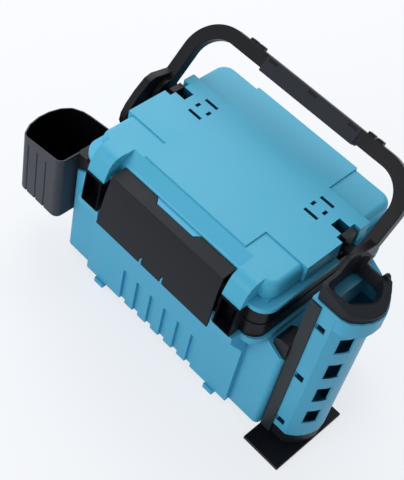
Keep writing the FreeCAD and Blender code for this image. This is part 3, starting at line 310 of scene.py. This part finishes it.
@dataclass
class Studio:
    """Pale floor, soft lights and the camera at the photograph's angle."""

    camera_place: Point = (0.5911, -0.9252, 1.4691)
    camera_turn: Point = (38.7806, -9.1861, 45.7145)
    lens: float = 83.44
    shift: Tuple[float, float] = (0.0022, -0.0116)
    floor_size: float = 30.0
    floor_shown: Colour = (0.70, 0.715, 0.74)

    def build(self) -> None:
        """Make the camera, the lights, the world and the floor."""
        self.add_camera()
        self.add_lights()
        self.add_world()
        self.add_floor()

    def add_camera(self) -> None:
        """Set up the camera of the photograph's view."""
        data = bpy.data.cameras.new("view")
        data.lens = self.lens
        data.sensor_width = 36
        data.shift_x, data.shift_y = self.shift
        data.clip_end = 100
        camera = bpy.data.objects.new("view", data)
        camera.location = self.camera_place
        camera.rotation_euler = [math.radians(turn) for turn in self.camera_turn]
        bpy.context.scene.collection.objects.link(camera)
        bpy.context.scene.camera = camera
        bpy.context.scene.view_settings.view_transform = "Standard"

    def add_lights(self) -> None:
        """Set a large soft lamp behind to the left and a weak one in front."""
        for name, place, size, power in (
            ("window_light", (-1.9, 1.5, 2.6), 2.8, 74.0),
            ("fill_light", (-0.7, -2.8, 1.5), 2.2, 36.0),
        ):
            data = bpy.data.lights.new(name, "AREA")
            data.energy = power
            data.size = size
            lamp = bpy.data.objects.new(name, data)
            lamp.location = place
            aim = Vector((0, 0, 0.15)) - Vector(place)
            lamp.rotation_euler = aim.to_track_quat("-Z", "Y").to_euler()
            bpy.context.scene.collection.objects.link(lamp)

    def add_world(self) -> None:
        """Give an even sky for light and a paler one to look at."""
        world = bpy.data.worlds.new("studio")
        bpy.context.scene.world = world
        world.use_nodes = True
        nodes = world.node_tree.nodes
        links = world.node_tree.links
        sky = nodes["Background"]
        sky.inputs["Color"].default_value = (0.93, 0.96, 1.0, 1)
        sky.inputs["Strength"].default_value = 0.42
        shown = nodes.new("ShaderNodeBackground")
        shown.inputs["Color"].default_value = (0.975, 0.98, 1.0, 1)
        shown.inputs["Strength"].default_value = 0.96
        mix = nodes.new("ShaderNodeMixShader")
        links.new(seen_rays(nodes, links), mix.inputs["Fac"])
        links.new(sky.outputs["Background"], mix.inputs[1])
        links.new(shown.outputs["Background"], mix.inputs[2])
        links.new(mix.outputs["Shader"], nodes["World Output"].inputs["Surface"])

    def add_floor(self) -> None:
        """Lay a wide pale floor that keeps the object's shadow."""
        deselect_all()
        bpy.ops.mesh.primitive_plane_add(size=self.floor_size, location=(0, 0, 0))
        floor = bpy.context.object
        floor.name = "studio_floor"
        material = bpy.data.materials.new("studio_floor")
        material.use_nodes = True
        nodes = material.node_tree.nodes
        links = material.node_tree.links
        shader = nodes["Principled BSDF"]
        shader.inputs["Base Color"].default_value = (0.80, 0.815, 0.835, 1)
        shader.inputs["Roughness"].default_value = 0.9
        glow = nodes.new("ShaderNodeEmission")
        glow.inputs["Color"].default_value = (*self.floor_shown, 1)
        glow.inputs["Strength"].default_value = 1.0
        veil = nodes.new("ShaderNodeBsdfDiffuse")
        veil.inputs["Color"].default_value = (0.26, 0.26, 0.26, 1)
        add = nodes.new("ShaderNodeAddShader")
        mix = nodes.new("ShaderNodeMixShader")
        links.new(veil.outputs["BSDF"], add.inputs[0])
        links.new(glow.outputs["Emission"], add.inputs[1])
        links.new(seen_rays(nodes, links), mix.inputs["Fac"])
        links.new(shader.outputs["BSDF"], mix.inputs[1])
        links.new(add.outputs["Shader"], mix.inputs[2])
        links.new(mix.outputs["Shader"], nodes["Material Output"].inputs["Surface"])
        floor.data.materials.append(material)


def seen_rays(nodes: bpy.types.Nodes, links: bpy.types.NodeLinks) -> bpy.types.NodeSocket:
    """Add nodes that give 1 on rays from the camera, a mirror or through glass.

    Args:
        nodes: The tree's nodes.
        links: The tree's links.

    Returns:
        The socket with the result.
    """
    path = nodes.new("ShaderNodeLightPath")
    first = nodes.new("ShaderNodeMath")
    first.operation = "MAXIMUM"
    second = nodes.new("ShaderNodeMath")
    second.operation = "MAXIMUM"
    links.new(path.outputs["Is Camera Ray"], first.inputs[0])
    links.new(path.outputs["Is Glossy Ray"], first.inputs[1])
    links.new(first.outputs["Value"], second.inputs[0])
    links.new(path.outputs["Is Transmission Ray"], second.inputs[1])
    return second.outputs["Value"]


@dataclass
class PlainParts:
    """Nodes whose own form is right and that only get a finish."""

    finishes: Dict[str, Finish] = field(default_factory=lambda: {
        "foot": BLUE_TUB,
        "centre": RUBBER,
        "lid_hinge": STEEL,
        "latch_pin": STEEL,
        "pivot_pin": STEEL,
        # The funnel gets the painted shade finish.
        "tube_funnel": FUNNEL_PAINTED_SHADE,
    })

    def build(self) -> None:
        """Dress every node that no new piece replaces."""
        for name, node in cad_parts.items():
            finish = BLACK
            for start, special in self.finishes.items():
                if name.startswith(start):
                    finish = special
            dress(node, finish)


def mirrored_regions(low: Point, high: Point, finish: Finish) -> Tuple[Region, Region]:
    """Make the same region on both sides of the middle plane.

    Args:
        low: Lower corner of the box on the right side.
        high: Upper corner of the box on the right side.
        finish: The finish inside.

    Returns:
        The regions on the left and the right.
    """
    left = Region((-high[0], low[1], low[2]), (-low[0], high[1], high[2]), finish)
    return left, Region(low, high, finish)


def mouldings() -> List[Moulding]:
    """List the pieces that follow a CAD node with rounded edges."""
    # Each region paints shade: its faces get a darker finish where slots, notches, socket pits and the
    # hollows of the tube and the cup lie in shade.
    lid_pit_painted_shade = (
        *mirrored_regions((0.104, 0.008, 0.305), (0.132, 0.055, 0.3171), BLUE_PAINTED_SHADE),
        *mirrored_regions((0.146, 0.019, 0.290), (0.167, 0.044, 0.3171), BLUE_PAINTED_SHADE),
    )
    socket_painted_shade = mirrored_regions((0.1225, -0.1645, 0.2215), (0.1545, -0.146, 0.2705), BLACK_PAINTED_SHADE)
    tube_inside_painted_shade = (Region((0.240, -0.103, 0.031), (0.2925, -0.012, 0.3335), BLUE_PAINTED_SHADE, (0.262, -0.0575)),)
    cup_inside_painted_shade = (Region((-0.327, -0.1455, 0.090), (-0.222, -0.0395, 0.2185), BLACK_PAINTED_SHADE, (-0.272, -0.092)),)
    return [
        Moulding("tub", "base", "blue_shell", BLUE_TUB, 0.0024),
        Moulding("collar_frame", "base", "black_plastic", BLACK_BAIL, 0.0008, regions=socket_painted_shade),
        Moulding("lid", "lid", "blue_shell", BLUE, 0.0022, regions=lid_pit_painted_shade),
        Moulding("front_latch", "latch", "black_plastic", BLACK, 0.0006),
        Moulding("handle_bail", "handle", "black_plastic", BLACK_BAIL, 0.0012),
        Moulding("grip_sleeve", "handle", "black_plastic", BLACK_SOFT, 0.0008),
        Moulding("cup", "cup", "black_plastic", BLACK_CUP_PAINTED_SHEEN, 0.0007, regions=cup_inside_painted_shade),
        Moulding("stand_strip", "rod_stand", "black_plastic", BLACK_STRIP, 0.0008),
        Moulding("stand_foot_plate", "rod_stand", "black_plastic", BLACK_BAIL, 0.0006),
        Moulding("tube_back_shell", "rod_stand", "blue_shell", BLUE_TUB, 0.0006, regions=tube_inside_painted_shade),
        Moulding("tube_outer_shell", "rod_stand", "blue_shell", BLUE_TUB, 0.0006, regions=tube_inside_painted_shade),
        Moulding("tube_head", "rod_stand", "blue_shell", BLUE_TUB, 0.0008),
        Moulding("tube_rim", "rod_stand", "black_plastic", BLACK, 0.0010),
    ]


def main() -> None:
    """Build the object's pieces in order and report each one."""
    logging.basicConfig(level=logging.INFO, format="%(name)s %(message)s")
    PlainParts().build()
    for moulding in mouldings():
        moulding.build()
    Studio().build()


if __name__ == "__main__":
    main()
